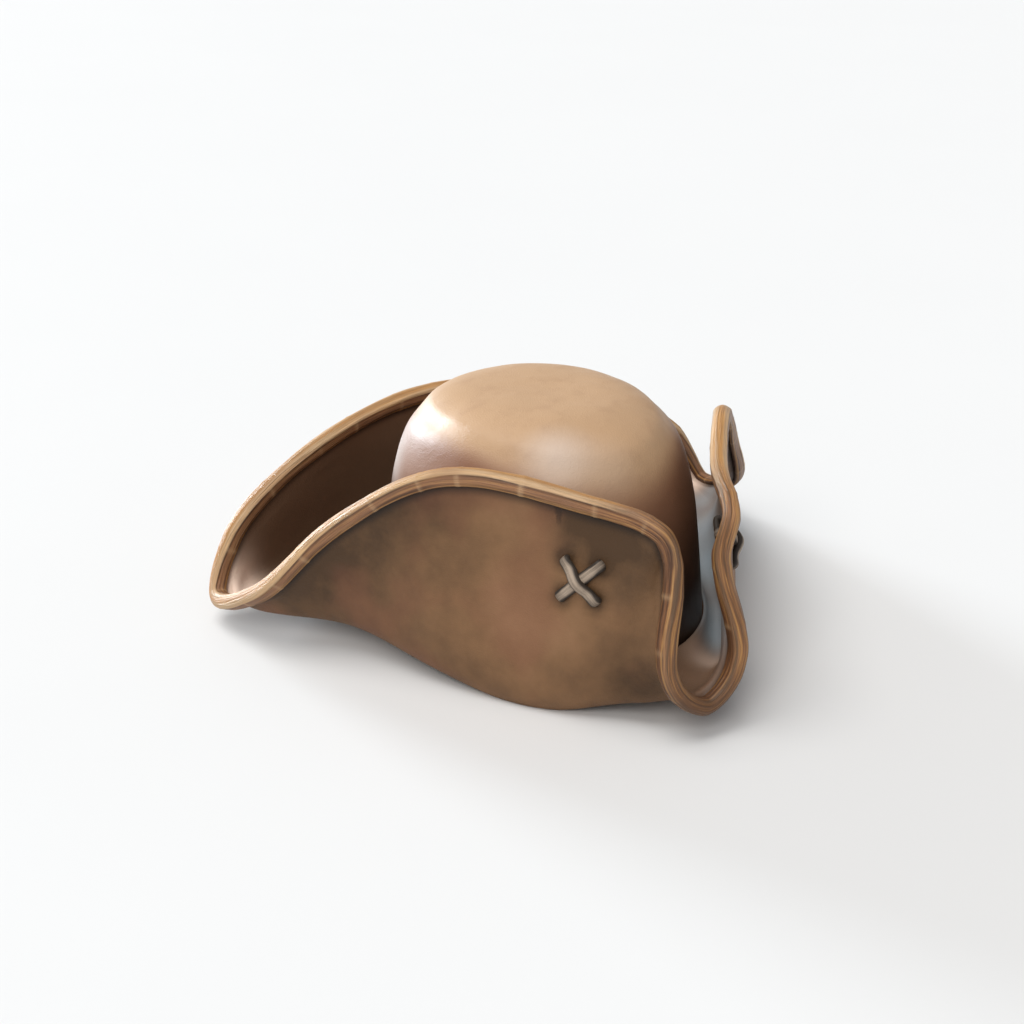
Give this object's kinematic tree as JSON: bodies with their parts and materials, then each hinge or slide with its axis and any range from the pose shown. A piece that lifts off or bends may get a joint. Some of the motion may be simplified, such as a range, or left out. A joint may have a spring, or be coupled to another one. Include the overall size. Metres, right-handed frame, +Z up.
{
  "type": "tricorn hat",
  "caption": "Three-cornered leather hat: domed crown, brim cocked up into three flaps, rolled edge binding and a crossed lace through each side flap.",
  "frame": {"origin": "middle of the hat's bounding box in plan, on the surface that the hat rests on", "axes": "+Z up, front corner towards -Y, the wearer's right towards -X; the hat is the same on both sides of x = 0"},
  "size_m": [0.3402, 0.303, 0.1352],
  "materials": {
    "crown_leather": "waxed, tan, with a soft shine",
    "brim_leather": "worn, mottled mid brown, semi-matte",
    "binding_leather": "streaked tan, polished on its crest",
    "lace_leather": "dry, greyed thong"
  },
  "bodies": {
    "root": {"crown": "crown_leather", "brim": "brim_leather", "edge_binding": "binding_leather", "right_lace_over": "lace_leather", "right_lace_under": "lace_leather", "left_lace_over": "lace_leather", "left_lace_under": "lace_leather"}
  },
  "joints": []
}
